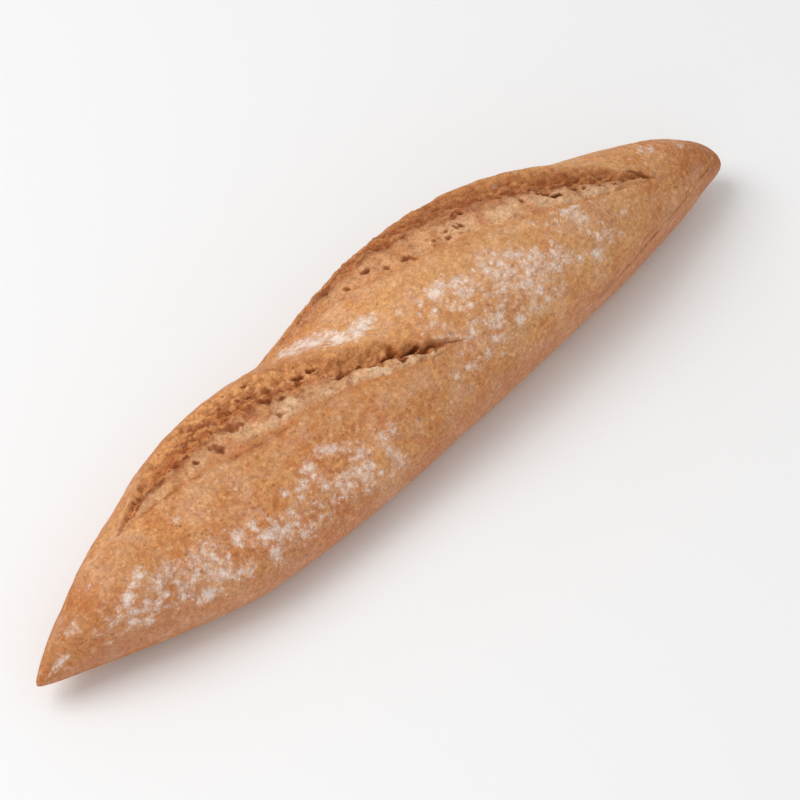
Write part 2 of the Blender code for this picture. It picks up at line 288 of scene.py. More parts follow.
def slash_relief(x, angle, cut, ragged):
    """Height over the plain skin that one slash gives, and its masks."""
    share = (x - cut["start"]) / (cut["end"] - cut["start"])
    along = np.clip(share, 0.0, 1.0)
    near, opening = slash_lines(share, cut)
    centre = near + 0.6 * opening
    swell = cut["swell"] * arch(along ** cut["swell_skew"], 1.4) * np.exp(
        -((angle - centre) / cut["swell_reach"]) ** 2)

    span = np.maximum(opening, 1e-3)
    last = ramp(0.3, 0.75, along)
    rough = 0.6 + (0.4 + 0.7 * last) * ramp(0.1, 0.5, (angle - near) / span)
    edge = angle + ragged * np.minimum(1.0, opening / 12.0) * rough
    across = (edge - near) / span
    trough, ear, foot = (cut[key][0] + (cut[key][1] - cut[key][0]) * last
                         for key in ("trough", "ear", "foot"))
    wide = np.minimum(1.0, opening / 14.0) * (1.0 - cut["closing"] * ramp(0.80, 0.97, along))
    trough, ear, crest = trough * wide, ear * wide, cut["crest"] * wide

    # A step down at the near lip, a raised crest, then the trough at the foot of the wall.
    bed = (-0.4 * wide * (1.0 - 0.5 * last) * ramp(0.0, 0.10, across)
           + crest * ramp(0.05, 0.25, across) * (1.0 - ramp(0.30, 0.60, across))
           - trough * ramp(0.30, foot, across))
    # The far wall climbs to the ear, which dies away beyond it, as the near lip does before.
    wall = ramp(foot, 1.0, across)
    bed = bed * (1.0 - wall) + ear * wall
    past = edge - near - opening
    beyond = ear * (1.0 - ramp(0.0, 16.0, past))
    before = (0.6 * wide * (1.0 - 0.5 * last) * ramp(-16.0, -1.5, edge - near)
              * (1.0 - ramp(0.0, 0.05, across)))
    relief = np.where(across >= 1.0, beyond, np.where(across <= 0.0, before, bed + before))
    open_here = opening > 0.5
    relief = np.where(open_here, relief, 0.0)
    inside = (across > 0.0) & (across < 1.0) & open_here
    masks = dict(
        crumb=inside * ramp(0.0, 0.08, across) * (1.0 - ramp(0.80, 1.0, across)),
        torn=inside * ramp(0.0, 0.05, across) * (1.0 - ramp(0.95, 1.0, across)),
        tint=inside * ramp(0.0, 0.10, across) * (
            1.0 - ramp(0.95 - cut["soft"] * last, 1.0, across)),
        wild=inside * ramp(0.12, 0.45, across) * (1.0 - ramp(0.93, 1.0, across)),
        wall=open_here * ramp(foot - 0.16, foot + 0.10, across) * (1.0 - ramp(-1.0, 1.5, past)),
        foot=inside * np.exp(-((across - foot + 0.02) / 0.075) ** 2) * (0.3 + 0.7 * last),
        lip=open_here * np.exp(-((edge - near) / 1.6) ** 2) * ramp(0.0, 0.1, along)
        * (1.0 - 0.6 * last) * cut["seam"],
        near=inside * ramp(0.0, 0.15, across) * (1.0 - ramp(0.15, 0.50, across))
        * (0.4 + 0.6 * last) * cut["pale"],
    )
    return swell, relief, {name: wide * mask for name, mask in masks.items()}


def pits(x, angle, holes, steep):
    """Depth of the listed holes, in mm, and how far into one a point lies. Where the
    skin is steep, each degree spans more of it, so a hole spans fewer degrees there."""
    depth, inside = np.zeros_like(x), np.zeros_like(x)
    warp = cloud(x, angle, 1.4, 6.2, 3)
    for hx, ha, radius, deep, stretch in holes:
        near = np.abs(x - hx) < 3.0 * radius * stretch
        u = (x[near] - hx) / stretch
        v = (angle[near] - ha + SLANT * (x[near] - hx)) * ARC * steep[near]
        d = np.hypot(u, v) / (0.80 * radius) + warp[near] * min(1.0, 1.3 / radius)
        bowl = np.where(d < 1.0, (1.0 - np.clip(d, 0.0, 1.0) ** 2) ** 1.3, 0.0)
        depth[near] = np.maximum(depth[near], deep * bowl)
        inside[near] = np.maximum(inside[near], bowl * min(1.0, deep))
    return depth, inside


def line_of(x, angle, line, width):
    """1 on a line through the given points, falling off over a width in mm."""
    found = np.zeros_like(x)
    for (x0, a0), (x1, a1) in zip(line[:-1], line[1:]):
        u, v = x1 - x0, (a1 - a0) * ARC
        share = np.clip(((x - x0) * u + (angle - a0) * ARC * v) / (u * u + v * v), 0.0, 1.0)
        away = np.hypot(x - x0 - share * u, (angle - a0) * ARC - share * v)
        found = np.maximum(found, np.exp(-(away / width) ** 2))
    return found


def dusting(x, angle):
    """How thickly the flour lies, and where it lies in loose grains."""
    patches = np.zeros_like(x)
    arc = ARC * np.clip(station_curve(HALF_WIDTHS, x) / 20.0, 0.25, 1.0)
    for fx, fa, radius, thick in FLOUR:
        spread = ((x - fx) ** 2 + ((angle - fa) * arc) ** 2) / (FLOUR_SPREAD * radius) ** 2
        patches = np.maximum(patches, thick * np.exp(-spread))
    left = (ramp(-122.0, -100.0, x) * (1.0 - ramp(-30.0, 0.0, x))
            * ramp(4.0, 24.0, angle) * (1.0 - ramp(48.0, 76.0, angle)))
    right = (ramp(-5.0, 15.0, x) * (1.0 - ramp(60.0, 92.0, x))
             * ramp(20.0, 42.0, angle) * (1.0 - ramp(74.0, 96.0, angle)))
    back = 0.6 * ramp(-95.0, -70.0, x) * (1.0 - ramp(70.0, 95.0, x)) * (
        ramp(166.0, 182.0, angle) * (1.0 - ramp(206.0, 222.0, angle)))
    haze = np.maximum(np.maximum(left, right), back) * np.clip(
        0.6 + 1.2 * cloud(x, angle, 7.0, 2.3), 0.0, 1.0)
    zone = np.maximum(patches, HAZE * haze)
    turned = CLUMP_ANGLE + (angle - CLUMP_ANGLE) * arc / ARC
    clumps = 0.55 * cloud(x, turned, 1.7, 4.4, 3) + 0.45 * cloud(x, turned, 4.0, 8.1, 2)
    grains = ramp(0.30, 0.95, zone + 1.1 * clumps) * ramp(0.02, 0.25, zone)
    return zone * np.clip(1.0 + 1.8 * clumps, 0.12, 1.6), grains


def baked_surface(s, angle):
    """Skin points in mm and the masks that the finishes read, for flat arrays."""
    x = 0.5 * LENGTH * s
    out = np.abs(s)
    tip = np.sqrt(np.clip(1.0 - out ** TIP_ROUNDING, 0.0, 1.0))
    half_width = station_curve(HALF_WIDTHS, x) * tip
    height = station_curve(HEIGHTS, x) * tip
    turn = np.radians(angle)
    side, rise = np.cos(turn), np.sin(turn)
    up, down = np.clip(rise, 0.0, 1.0), np.clip(-rise, 0.0, 1.0)
    half_width = np.where(side > 0.0, half_width, FAR_WIDTH * half_width)
    lift = TIP_LIFT * np.clip((out - FLAT_SHARE) / (1.0 - FLAT_SHARE), 0.0, 1.0) ** TIP_LIFT_CURVE
    # 2.6 brings the peak of s - s ** 3 to 1.
    spine = (SPINE_BEND + 2.6 * SPINE_SWAY * s) * (1.0 - s * s)

    raised = -BRIDGE_DIP * np.exp(-((x - BRIDGE_AT[0]) / BRIDGE_REACH[0]) ** 2
                                  - ((angle - BRIDGE_AT[1]) / BRIDGE_REACH[1]) ** 2)
    ragged = RAGGED * cloud(x, angle, 4.0, 3.1)
    masks = {}
    for cut in SLASHES:
        swell, relief, found = slash_relief(x, angle, cut, ragged)
        raised = raised + swell + relief
        masks = {name: np.maximum(masks.get(name, 0.0), mask) for name, mask in found.items()}
    crumb, torn, wild = masks["crumb"], masks["torn"], masks["wild"]
    raised = raised + CRAG_HEIGHT * crumb * crags(x, angle)

    # Torn crumb: open bubbles, a finer foam between them, and ragged strands.
    beds = torn > 0.0
    big, fine = np.zeros_like(x), np.zeros_like(x)
    number = np.ones_like(x)
    big[beds], number[beds] = foam(x[beds], angle[beds], BUBBLE_SIZE, 1.7)
    fine[beds], _ = foam(x[beds], angle[beds], FOAM_SIZE, 4.9)
    opened = big * np.clip(1.6 - 4.0 * number, 0.0, 1.0)
    streak = np.zeros_like(x)
    streak[beds] = ramp(0.02, 0.45, strands(x[beds], angle[beds], 2.7))
    masks["streak"] = streak * wild
    depth, pit_brown_and_shade = pits(x, angle, PORES, 1.0 + 1.1 * masks["wall"])
    raised = raised - torn * (0.15 + wild) * (BUBBLE_DEPTH * opened + HOLLOW_DEPTH * big)
    raised = raised - torn * (0.10 + 0.30 * wild) * fine
    raised = raised + torn * (0.12 + 0.52 * wild) * np.minimum(
        cloud(x, angle, 2.4, 8.4), 0.15)
    raised = raised + torn * (0.10 + 0.32 * wild) * (1.0 - 0.6 * masks["wall"]) * np.minimum(
        cloud(x, angle, 1.1, 6.6, 2), 0.2)
    raised = raised - torn * depth - STRAND_DEPTH * masks["streak"]
    split = masks["foot"] * np.clip(0.10 + 2.6 * cloud(x, angle, 2.1, 5.2), 0.0, 1.0)
    raised = raised - SPLIT_DEPTH * split
    # Painted shade in the holes, the groove at the wall's foot and the open bubbles, together
    # with the browner crumb there.
    masks["pit_brown_and_shade"] = torn * np.clip(np.maximum(
        np.maximum(1.1 * pit_brown_and_shade, 0.85 * split), wild * (0.60 * opened ** 2 + 0.3 * fine ** 2)),
        0.0, 1.0)

    # Plain crust: slow dents, small pits, the crack and the crease above the underside.
    skin = 1.0 - torn
    uneven = SLOW_DENTS * cloud(x, angle, 9.0, 5.7, 2) + FINE_DENTS * cloud(x, angle, 2.6, 7.7)
    raised = raised + skin * uneven * np.clip(rise + 0.6, 0.0, 1.0)
    dent, in_dent = pits(x, angle, DENTS, np.ones_like(x))
    crack = line_of(x, angle, CRACK, 0.45)
    rim = line_of(x, angle + 3.0 * cloud(x, angle, 6.0, 9.2, 3), RIM, 1.0)
    rim = rim * np.clip(0.6 + 1.2 * cloud(x, angle, 5.0, 3.9, 2), 0.0, 1.0)
    raised = raised - dent - CRACK_DEPTH * crack - RIM_DEPTH * rim
    # The dents and the crack take the holes' dark colour: browner crust and painted shade in
    # them.
    masks["dent"] = np.clip(in_dent + 0.9 * crack, 0.0, 1.0)
    masks["rim"] = rim
    below = np.interp(x, *zip(*RIM)) - angle
    masks["hem"] = (ramp(62.0, 84.0, x) * ramp(0.5, 3.0, below)
                    * (1.0 - ramp(7.0, 13.0, below)) * (1.0 - ramp(112.0, 120.0, x))
                    * np.clip(0.7 + 1.1 * cloud(x, angle, 3.0, 1.9), 0.0, 1.0))
    flour, grains = dusting(x, angle)
    masks["flour"], masks["grains"] = flour * (1.0 - 0.85 * torn), grains * (1.0 - torn)
    masks["bake_and_low_shade"] = browning_and_low_shade(x, angle, masks)
    masks["sole"] = down
    # The second slash is baked deeper, less so at its start.
    early = 0.4 * ramp(-30.0, -8.0, x) * ramp(98.0, 112.0, angle)
    masks["deep"] = wild * np.maximum(ramp(8.0, 42.0, x), early) * (1.0 - ramp(72.0, 90.0, x))
    # Paler skin over the blunter half, and on the bridge of dough between the slashes.
    half = (ramp(0.0, 32.0, x) * (1.0 - ramp(82.0, 108.0, x))
            * ramp(0.0, 30.0, angle) * (1.0 - ramp(112.0, 135.0, angle))
            * np.clip(0.80 + 0.9 * cloud(x, angle, 14.0, 6.9, 2), 0.0, 1.0))
    bridge = 0.85 * np.exp(-((x - 2.0) / 18.0) ** 2 - ((angle - 102.0) / 22.0) ** 2)
    masks["pale"] = np.maximum(half, bridge)
    masks["low"] = (1.0 - ramp(-6.0, 26.0, angle)) * (1.0 - ramp(20.0, 50.0, -angle))
    raised = raised * tip

    reach = np.where(rise < 0.0, np.sign(side) * np.abs(side) ** SOLE_EDGE, side)
    y = spine - SIDE_SHIFT - half_width * reach - raised * side
    under = WIDEST_AT * np.minimum(1.0, SOLE_CUT * down ** SOLE_CURVE)
    z = lift + height * (WIDEST_AT + (1.0 - WIDEST_AT) * up ** SIDE_FULLNESS
                         - under) + raised * up
    return np.stack([x, y, z], axis=1), masks


def browning_and_low_shade(x, angle, masks):
    """Where the skin is darker: baked at the tips, on the standing lips and in slow drifts, and
    painted shade low on the near side.
    """
    tips = 0.50 * ramp(98.0, 124.0, x) + 0.50 * ramp(-78.0, -118.0, x)
    middle = 0.32 * np.exp(-(x / 20.0) ** 2 - ((angle - 46.0) / 24.0) ** 2)
    # Painted shade: darker low on the near side, where it faces away from the light.
    low = 0.20 * (1.0 - ramp(-10.0, 30.0, angle)) * (angle > -30.0)
    drift = 0.22 * np.clip(cloud(x, angle, 22.0, 1.3, 2), -1.0, 1.0)
    return np.clip(tips + middle + 0.3 * masks["wall"] + low + drift, 0.0, 1.0)


def linear(colour):
    """sRGB hex such as C08A5A to linear RGBA."""
    values = [int(colour[i:i + 2], 16) / 255.0 for i in (0, 2, 4)]
    return [v / 12.92 if v <= 0.04045 else ((v + 0.055) / 1.055) ** 2.4 for v in values] + [1.0]


def node(tree, kind, settings=None, **links):
    """Adds a node; settings hold properties and socket values, links feed sockets."""
    made = tree.nodes.new(kind)
    for name, value in (settings or {}).items():
        if name in made.inputs and not hasattr(type(made), name):
            made.inputs[name].default_value = value
        else:
            setattr(made, name, value)
    for name, source in links.items():
        target = made.inputs[int(name[1:])] if name[0] == "_" else made.inputs[
            name.replace("_", " ")]
        tree.links.new(source, target)
    return made


def deselect():
    """Leaves edit mode and selects nothing."""
    if bpy.context.mode != "OBJECT":
        bpy.ops.object.mode_set(mode="OBJECT")
    bpy.ops.object.select_all(action="DESELECT")


class Shade:
    """Short names for the few nodes that every finish here is mixed from."""

    def __init__(self, name):
        self.material = bpy.data.materials.new(name)
        self.material.use_nodes = True
        self.tree = self.material.node_tree
        self.shader = self.tree.nodes["Principled BSDF"]
        self.place = node(self.tree, "ShaderNodeTexCoord").outputs["Object"]

    def add(self, kind, settings=None, **links):
        return node(self.tree, kind, settings, **links)

    def mask(self, name):
        return self.add("ShaderNodeAttribute", {"attribute_name": name}).outputs["Fac"]

    def noise(self, size_mm, detail=2.0, rough=0.5, distortion=0.0):
        """Noise whose lumps are about size_mm across."""
        return self.add("ShaderNodeTexNoise", {
            "Scale": 1.0 / (size_mm * MM), "Detail": detail, "Roughness": rough,
            "Distortion": distortion}, Vector=self.place).outputs["Fac"]

    def cells(self, size_mm, output="Distance", place=None):
        """Cells about size_mm across: the distance from each middle, or its own shade."""
        return self.add("ShaderNodeTexVoronoi", {"Scale": 1.0 / (size_mm * MM)},
                        Vector=place or self.place).outputs[output]

    def warped(self, size_mm, amount_mm):
        """Object place shifted unevenly, so that cells lose their round outline."""
        shift = self.add("ShaderNodeTexNoise", {"Scale": 1.0 / (size_mm * MM), "Detail": 2.0},
                         Vector=self.place).outputs["Color"]
        centred = self.add("ShaderNodeVectorMath", {"operation": "SUBTRACT"}, _0=shift)
        centred.inputs[1].default_value = (0.5, 0.5, 0.5)
        scaled = self.add("ShaderNodeVectorMath", {"operation": "SCALE"},
                          _0=centred.outputs["Vector"])
        scaled.inputs["Scale"].default_value = 2.0 * amount_mm * MM
        return self.add("ShaderNodeVectorMath", {"operation": "ADD"}, _0=self.place,
                        _1=scaled.outputs["Vector"]).outputs["Vector"]

    def step(self, value, low, high, to_low=0.0, to_high=1.0):
        """Smooth step of a value between low and high."""
        return self.add("ShaderNodeMapRange", {
            "interpolation_type": "SMOOTHSTEP", "From Min": low, "From Max": high,
            "To Min": to_low, "To Max": to_high}, Value=value).outputs["Result"]

    def math(self, operation, a, b):
        made = self.add("ShaderNodeMath", {"operation": operation})
        for i, value in enumerate((a, b)):
            if isinstance(value, (int, float)):
                made.inputs[i].default_value = value
            else:
                self.tree.links.new(value, made.inputs[i])
        return made.outputs[0]

    def times(self, a, b):
        return self.math("MULTIPLY", a, b)

    def plus(self, a, b):
        return self.math("ADD", a, b)

    def grey(self, value):
        return self.add("ShaderNodeCombineColor", Red=value, Green=value,
                        Blue=value).outputs["Color"]

    def blend(self, share, a, b, how="MIX"):
        """Colour mix; a and b are colours or hex strings."""
        made = self.add("ShaderNodeMix", {"data_type": "RGBA", "blend_type": how})
        for i, value in ((0, share), (6, a), (7, b)):
            if isinstance(value, str):
                made.inputs[i].default_value = linear(value)
            elif isinstance(value, (int, float)):
                made.inputs[i].default_value = value
            else:
                self.tree.links.new(value, made.inputs[i])
        return made.outputs[2]


def baked_wholemeal(look):
    """Oven-browned wholemeal dough: dry, dull crust flecked with bran, torn crumb in
    the slashes that is browned and full of holes, and flour caught on the skin."""
    m = Shade("baked_wholemeal_crust")
    torn, pit_brown_and_shade, wall, near = m.mask("torn"), m.mask("pit_brown_and_shade"), m.mask("wall"), m.mask("near")
    lip, flour, bake_and_low_shade, sole = m.mask("lip"), m.mask("flour"), m.mask("bake_and_low_shade"), m.mask("sole")

    # Skin: slow drifts of browning some 16 mm across, then mottling near 2 mm.
    skin = m.blend(m.step(m.noise(16.0, 3.0), 0.35, 0.68), look.crust, look.crust_pale)
    skin = m.blend(m.times(m.mask("pale"), 0.66), skin, look.crust_light)
    skin = m.blend(m.times(m.step(m.noise(7.0, 2.0, 0.6), 0.52, 0.68), 0.45),
                   skin, look.crust_rosy)
    skin = m.blend(m.times(m.step(m.noise(2.6, 3.0, 0.6), 0.42, 0.66), 0.45),
                   skin, look.crust_light)
    skin = m.blend(m.times(m.step(m.noise(1.6, 3.0, 0.65), 0.50, 0.70), 0.40),
                   skin, look.crust_dark)
    # Bran: flakes of about 1 mm, some darker and some lighter than the dough.
    bran, pick = m.cells(1.5), m.cells(1.5, output="Color")
    dark_bran = m.times(m.step(bran, 0.40, 0.16), m.step(pick, 0.62, 0.84))
    skin = m.blend(m.times(dark_bran, 0.50), skin, look.bran)
    light_bran = m.times(m.step(bran, 0.44, 0.20), m.step(pick, 0.36, 0.18))
    skin = m.blend(m.times(light_bran, 0.55), skin, look.bran_pale)
    # Baked browning, with painted shade low on the near side.
    skin = m.blend(m.times(bake_and_low_shade, 0.85), skin, look.crust_dark)
    skin = m.blend(m.times(m.mask("low"), 0.58), skin, look.crust_rosy)
    skin = m.blend(m.times(m.mask("hem"), 0.70), skin, look.hem)
    seam = m.times(lip, m.step(m.noise(5.0, 2.0), 0.36, 0.62, 0.25, 0.75))
    skin = m.blend(seam, skin, look.crease)
    skin = m.blend(m.times(m.mask("rim"), 0.75), skin, look.crease)
    # Dents and the crack painted with the holes' colour: partly painted shade.
    skin = m.blend(m.times(m.mask("dent"), 0.85), skin, look.hole_brown_and_shade)

    # Torn crumb: paler beside the near lip, deep orange brown towards the far wall, with redder,
    # more deeply baked patches some 5 mm across and hollows of all sizes. The far wall is
    # lightened as painted light, since the key light leaves it in shade, and the hollows are
    # darkened as painted shade.
    wild = m.mask("wild")
    crumb = m.blend(m.step(m.noise(5.0, 3.0, 0.6), 0.38, 0.64), look.crumb, look.crumb_pale)
    crumb = m.blend(m.times(wall, m.step(m.noise(3.0, 3.0, 0.65), 0.34, 0.62, 0.35, 0.95)),
                    crumb, look.crumb_wall_painted_light)
    baked = m.times(m.step(m.noise(5.2, 3.0, 0.62, 0.5), 0.47, 0.57), wild)
    # Fewer dark patches on the far wall: painted light on a wall in shade.
    baked = m.times(baked, m.step(wall, 0.0, 1.0, 0.88, 0.40))
    crumb = m.blend(baked, crumb, look.crumb_dark)
    deep = m.mask("deep")
    # The far wall's crumb lightened again outside the second slash: painted light, since the key
    # light leaves that wall in shade.
    painted_light_on_wall = m.times(m.times(wall, m.math("SUBTRACT", 1.0, deep)), 0.38)
    crumb = m.blend(painted_light_on_wall, crumb, look.crumb_wall_painted_light)
    crumb = m.blend(m.times(m.mask("streak"), 0.50), crumb, look.crease)
    crumb = m.blend(m.times(near, m.step(m.noise(6.0, 2.0), 0.34, 0.60, 0.35, 0.95)),
                    crumb, look.crumb_light)
    crumb = m.blend(m.times(m.step(m.noise(1.4, 4.0, 0.7), 0.48, 0.64), 0.42),
                    crumb, look.crumb_dark)
    specks = m.times(m.step(m.cells(1.2), 0.34, 0.10), m.step(m.cells(1.2, "Color"), 0.50, 0.70))
    crumb = m.blend(m.times(m.times(specks, wild), 0.70), crumb, look.crease)
    crumb = m.blend(m.times(deep, 0.39), crumb, look.crumb_dark)
    # The holes painted darker: browner crumb and painted shade in them.
    crumb = m.blend(m.times(m.step(pit_brown_and_shade, 0.08, 0.50), 0.80), crumb, look.crease)
    crumb = m.blend(m.times(m.step(pit_brown_and_shade, 0.42, 0.95), 0.88), crumb, look.hole_brown_and_shade)
    colour = m.blend(m.mask("tint"), skin, crumb)

    # Flour: soft uneven flecks of 1.9 mm and 0.95 mm, more of them where it lies thicker,
    # a closed coat only where it is thickest, and a thin film all over.
    powder = m.times(m.step(flour, 0.65, 1.20), 0.68)
    place = m.warped(0.9, 0.8)
    for size, most in ((1.9, 0.68), (0.95, 0.58)):
        fleck = m.step(m.cells(size, place=place), 0.75, 0.05, 0.0, most)
        left_out = m.times(m.cells(size, "Color", place), -1.0)
        chosen = m.step(m.plus(flour, left_out), -0.16, 0.20)
        powder = m.math("MAXIMUM", powder, m.times(fleck, chosen))
    film = m.times(m.step(m.noise(8.0, 3.0, 0.6), 0.46, 0.68), 0.08)
    colour = m.blend(m.times(film, m.step(torn, 0.6, 0.1)), colour, look.flour)
    colour = m.blend(m.times(m.step(flour, 0.0, 0.8), 0.21), colour, look.flour)
    colour = m.blend(powder, colour, look.flour)
    colour = m.blend(m.times(m.step(sole, 0.35, 0.9), 0.5), colour, look.sole)
    # Grain of the meal itself, 1.3 mm and 0.6 mm, light against dark.
    grit = m.times(m.step(m.noise(1.3, 3.0, 0.6), 0.30, 0.70, 0.90, 1.13),
                   m.step(m.noise(0.6, 2.0, 0.6), 0.30, 0.70, 0.87, 1.14))
    colour = m.blend(1.0, colour, m.grey(grit), "MULTIPLY")
    m.tree.links.new(colour, m.shader.inputs["Base Color"])

    # Roughness: dry crust near 0.7, powder and crumb fully dull.
    rough = m.step(m.noise(2.3, 3.0, 0.6), 0.3, 0.7, 0.62, 0.82)
    rough = m.math("MAXIMUM", rough, m.times(powder, 0.95))
    m.tree.links.new(rough, m.shader.inputs["Roughness"])
    m.shader.inputs["IOR"].default_value = 1.45
    m.shader.inputs["Specular IOR Level"].default_value = 0.30

    # Relief too fine for the mesh: crust grain some 0.05 mm deep, crumb grain 0.2 mm.
    height = m.plus(m.times(m.noise(0.7, 3.0, 0.65), 0.11),
                    m.times(m.noise(0.9, 4.0, 0.7), m.times(torn, 0.55)))
    height = m.plus(height, m.times(powder, 0.12))
    bump = m.add("ShaderNodeBump", {"Strength": 1.0, "Distance": 0.5 * MM}, Height=height)
    m.tree.links.new(bump.outputs["Normal"], m.shader.inputs["Normal"])
    return m.material


def loose_flour(look):
    """Dry flour: off-white, wholly dull, each grain a little lighter or darker."""
    m = Shade("loose_flour")
    tone = m.step(m.noise(1.5, 2.0), 0.3, 0.7)
    m.tree.links.new(m.blend(tone, look.flour_dark, look.flour), m.shader.inputs["Base Color"])
    m.shader.inputs["Roughness"].default_value = 0.95
    m.shader.inputs["IOR"].default_value = 1.45
    m.shader.inputs["Specular IOR Level"].default_value = 0.2
    return m.material


class RollLook(bpy.types.PropertyGroup):
    """Colours of the roll, as sRGB hex, and how fine its mesh is."""

    crust: bpy.props.StringProperty(
        name="Crust", description="Middle brown of the baked skin", default="C37A44")
    crust_pale: bpy.props.StringProperty(
        name="Pale crust", description="Lighter drifts in the skin", default="CD8F5A")
    crust_light: bpy.props.StringProperty(
        name="Light crust", description="Least baked skin, over the middle", default="DAA36B")
    crust_rosy: bpy.props.StringProperty(
        name="Rosy crust", description="Pinker skin low on the sides", default="C68A69")
    crust_dark: bpy.props.StringProperty(
        name="Dark crust", description="More deeply baked skin", default="9C582B")
    crease: bpy.props.StringProperty(
        name="Crease", description="Reddish brown along a torn edge", default="8E481A")
    bran: bpy.props.StringProperty(
        name="Bran", description="Dark bran flakes", default="8A5127")
    bran_pale: bpy.props.StringProperty(
        name="Pale bran", description="Light bran flakes", default="E2B68C")
    hem: bpy.props.StringProperty(
        name="Hem", description="Lighter edge where the underside turns up", default="CC8E64")
    crumb: bpy.props.StringProperty(
        name="Crumb", description="Browned torn crumb", default="BE7340")
    crumb_pale: bpy.props.StringProperty(
        name="Pale crumb", description="Paler torn crumb", default="CB8D55")
    crumb_light: bpy.props.StringProperty(
        name="Light crumb", description="Palest crumb, beside the near lip", default="F1CDA4")
    # Crumb on the far wall: its own orange brown, lightened as painted light because that wall
    # falls in shade.
    crumb_wall_painted_light: bpy.props.StringProperty(
        name="Crumb wall", description="Crumb browned on the standing far wall", default="E2A268")
    crumb_dark: bpy.props.StringProperty(
        name="Dark crumb", description="Browner torn crumb", default="8A4416")
    # Darkest brown in the holes: the crumb's own brown with painted shade.
    hole_brown_and_shade: bpy.props.StringProperty(
        name="Hole", description="Depth of the holes in the crumb", default="66310F")
    flour: bpy.props.StringProperty(
        name="Flour", description="Flour that stuck to the skin", default="F0E2D8")
    flour_dark: bpy.props.StringProperty(
        name="Coarse flour", description="Browner grains among the flour", default="DDBFA4")
    sole: bpy.props.StringProperty(
        name="Underside", description="Skin baked on the tray", default="C98A50")
    rings: bpy.props.IntProperty(
        name="Rings", description="Mesh rings from tip to tip", default=372, min=40)
    lines: bpy.props.IntProperty(
        name="Lines", description="Mesh lines round the roll", default=150, min=24)
    grains: bpy.props.FloatProperty(
        name="Grains", description="Loose flour grains on each square mm of thick dusting",
        default=2.8, min=0.0)


class StudioLook(bpy.types.PropertyGroup):
    """The floor, the light and the camera's place."""

    floor: bpy.props.StringProperty(
        name="Floor", description="Pale floor colour", default="F4F4F4")
    key: bpy.props.FloatProperty(
        name="Key light", description="Power of the large soft light", default=9.3,
        unit="POWER")
    fill: bpy.props.FloatProperty(
        name="Fill light", description="Power of the weaker front light", default=2.0,
        unit="POWER")
    ambient: bpy.props.FloatProperty(
        name="Ambient", description="Strength of the even light", default=0.58)
    azimuth: bpy.props.FloatProperty(
        name="Azimuth", description="Where the camera stands round the roll",
        default=math.radians(-45.14), subtype="ANGLE", unit="ROTATION")
    elevation: bpy.props.FloatProperty(
        name="Elevation", description="How high the camera stands",
        default=math.radians(50.42), subtype="ANGLE", unit="ROTATION")
    distance: bpy.props.FloatProperty(
        name="Distance", description="From the camera to the roll", default=0.8,
        unit="LENGTH")
    lens: bpy.props.FloatProperty(
        name="Lens", description="Focal length in mm", default=139.0)


class ROLL_OT_crust(bpy.types.Operator):
    """Bake the roll: one closed skin with both torn slashes"""

    bl_idname = "bread.crust"
    bl_label = "Crust and Crumb"

    def execute(self, context):
        look = context.scene.roll_look
        deselect()
        bpy.ops.mesh.primitive_uv_sphere_add(
            segments=look.lines, ring_count=look.rings, radius=1.0, location=(0, 0, 0))
        roll = context.object
        roll.name = roll.data.name = "baked_roll"
        mesh = roll.data

        # The beds of the slashes get a mesh twice as fine as the plain crust.
        s, angle = self.places(mesh)
        marked = np.zeros(len(s), bool)
        for cut in SLASHES:
            share = (0.5 * LENGTH * s - cut["start"]) / (cut["end"] - cut["start"])
            near, opening = slash_lines(share, cut)
            marked |= ((angle > near - BED_MARGIN) & (opening > 0.3)
                       & (angle < near + opening + BED_MARGIN))
        bpy.ops.object.mode_set(mode="EDIT")
        bpy.ops.mesh.select_all(action="DESELECT")
        bpy.ops.mesh.select_mode(type="VERT")
        bpy.ops.object.mode_set(mode="OBJECT")
        mesh.vertices.foreach_set("select", marked)
        bpy.ops.object.mode_set(mode="EDIT")
        bpy.ops.mesh.select_mode(type="FACE")
        bpy.ops.mesh.subdivide(number_cuts=1)
        bpy.ops.object.mode_set(mode="OBJECT")

        points, masks = baked_surface(*self.places(mesh))
        mesh.vertices.foreach_set("co", (points * MM).ravel())
        for name in ("torn", "tint", "pit_brown_and_shade", "wall", "near", "wild", "deep", "streak", "lip",
                     "flour", "grains", "bake_and_low_shade", "pale", "low", "sole", "rim", "hem", "dent"):
            layer = mesh.attributes.new(name, "FLOAT", "POINT")
            layer.data.foreach_set("value", masks[name].astype(np.float32))
        mesh.update()
        bpy.ops.object.mode_set(mode="EDIT")
        bpy.ops.mesh.select_all(action="SELECT")
        bpy.ops.mesh.normals_make_consistent(inside=False)
        bpy.ops.object.mode_set(mode="OBJECT")
        bpy.ops.object.shade_smooth()
        mesh.materials.clear()
        mesh.materials.append(baked_wholemeal(look))
        mesh.calc_loop_triangles()
        if len(mesh.loop_triangles) >= MAX_TRIANGLES:
            self.report({"ERROR"}, f"the roll has {len(mesh.loop_triangles)} triangles")
            return {"CANCELLED"}
        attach(roll, "root")
        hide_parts(NODE)
        return {"FINISHED"}

    @staticmethod
    def places(mesh):
        """Where each vertex of the sphere lies on the roll: share along it, and angle."""
        at = np.empty(len(mesh.vertices) * 3)
        mesh.vertices.foreach_get("co", at)
        at = at.reshape(-1, 3)
        at = at / np.linalg.norm(at, axis=1, keepdims=True)
        ring = 2.0 * np.arccos(np.clip(-at[:, 2], -1.0, 1.0)) / np.pi - 1.0
        s = 0.7 * ring + 0.3 * np.sin(0.5 * np.pi * ring)
        line = np.mod(np.arctan2(at[:, 1], at[:, 0]) / (2.0 * np.pi), 1.0)
        return s, slanted(np.interp(line, LINE_SHARES, LINE_ANGLES), 0.5 * LENGTH * s)


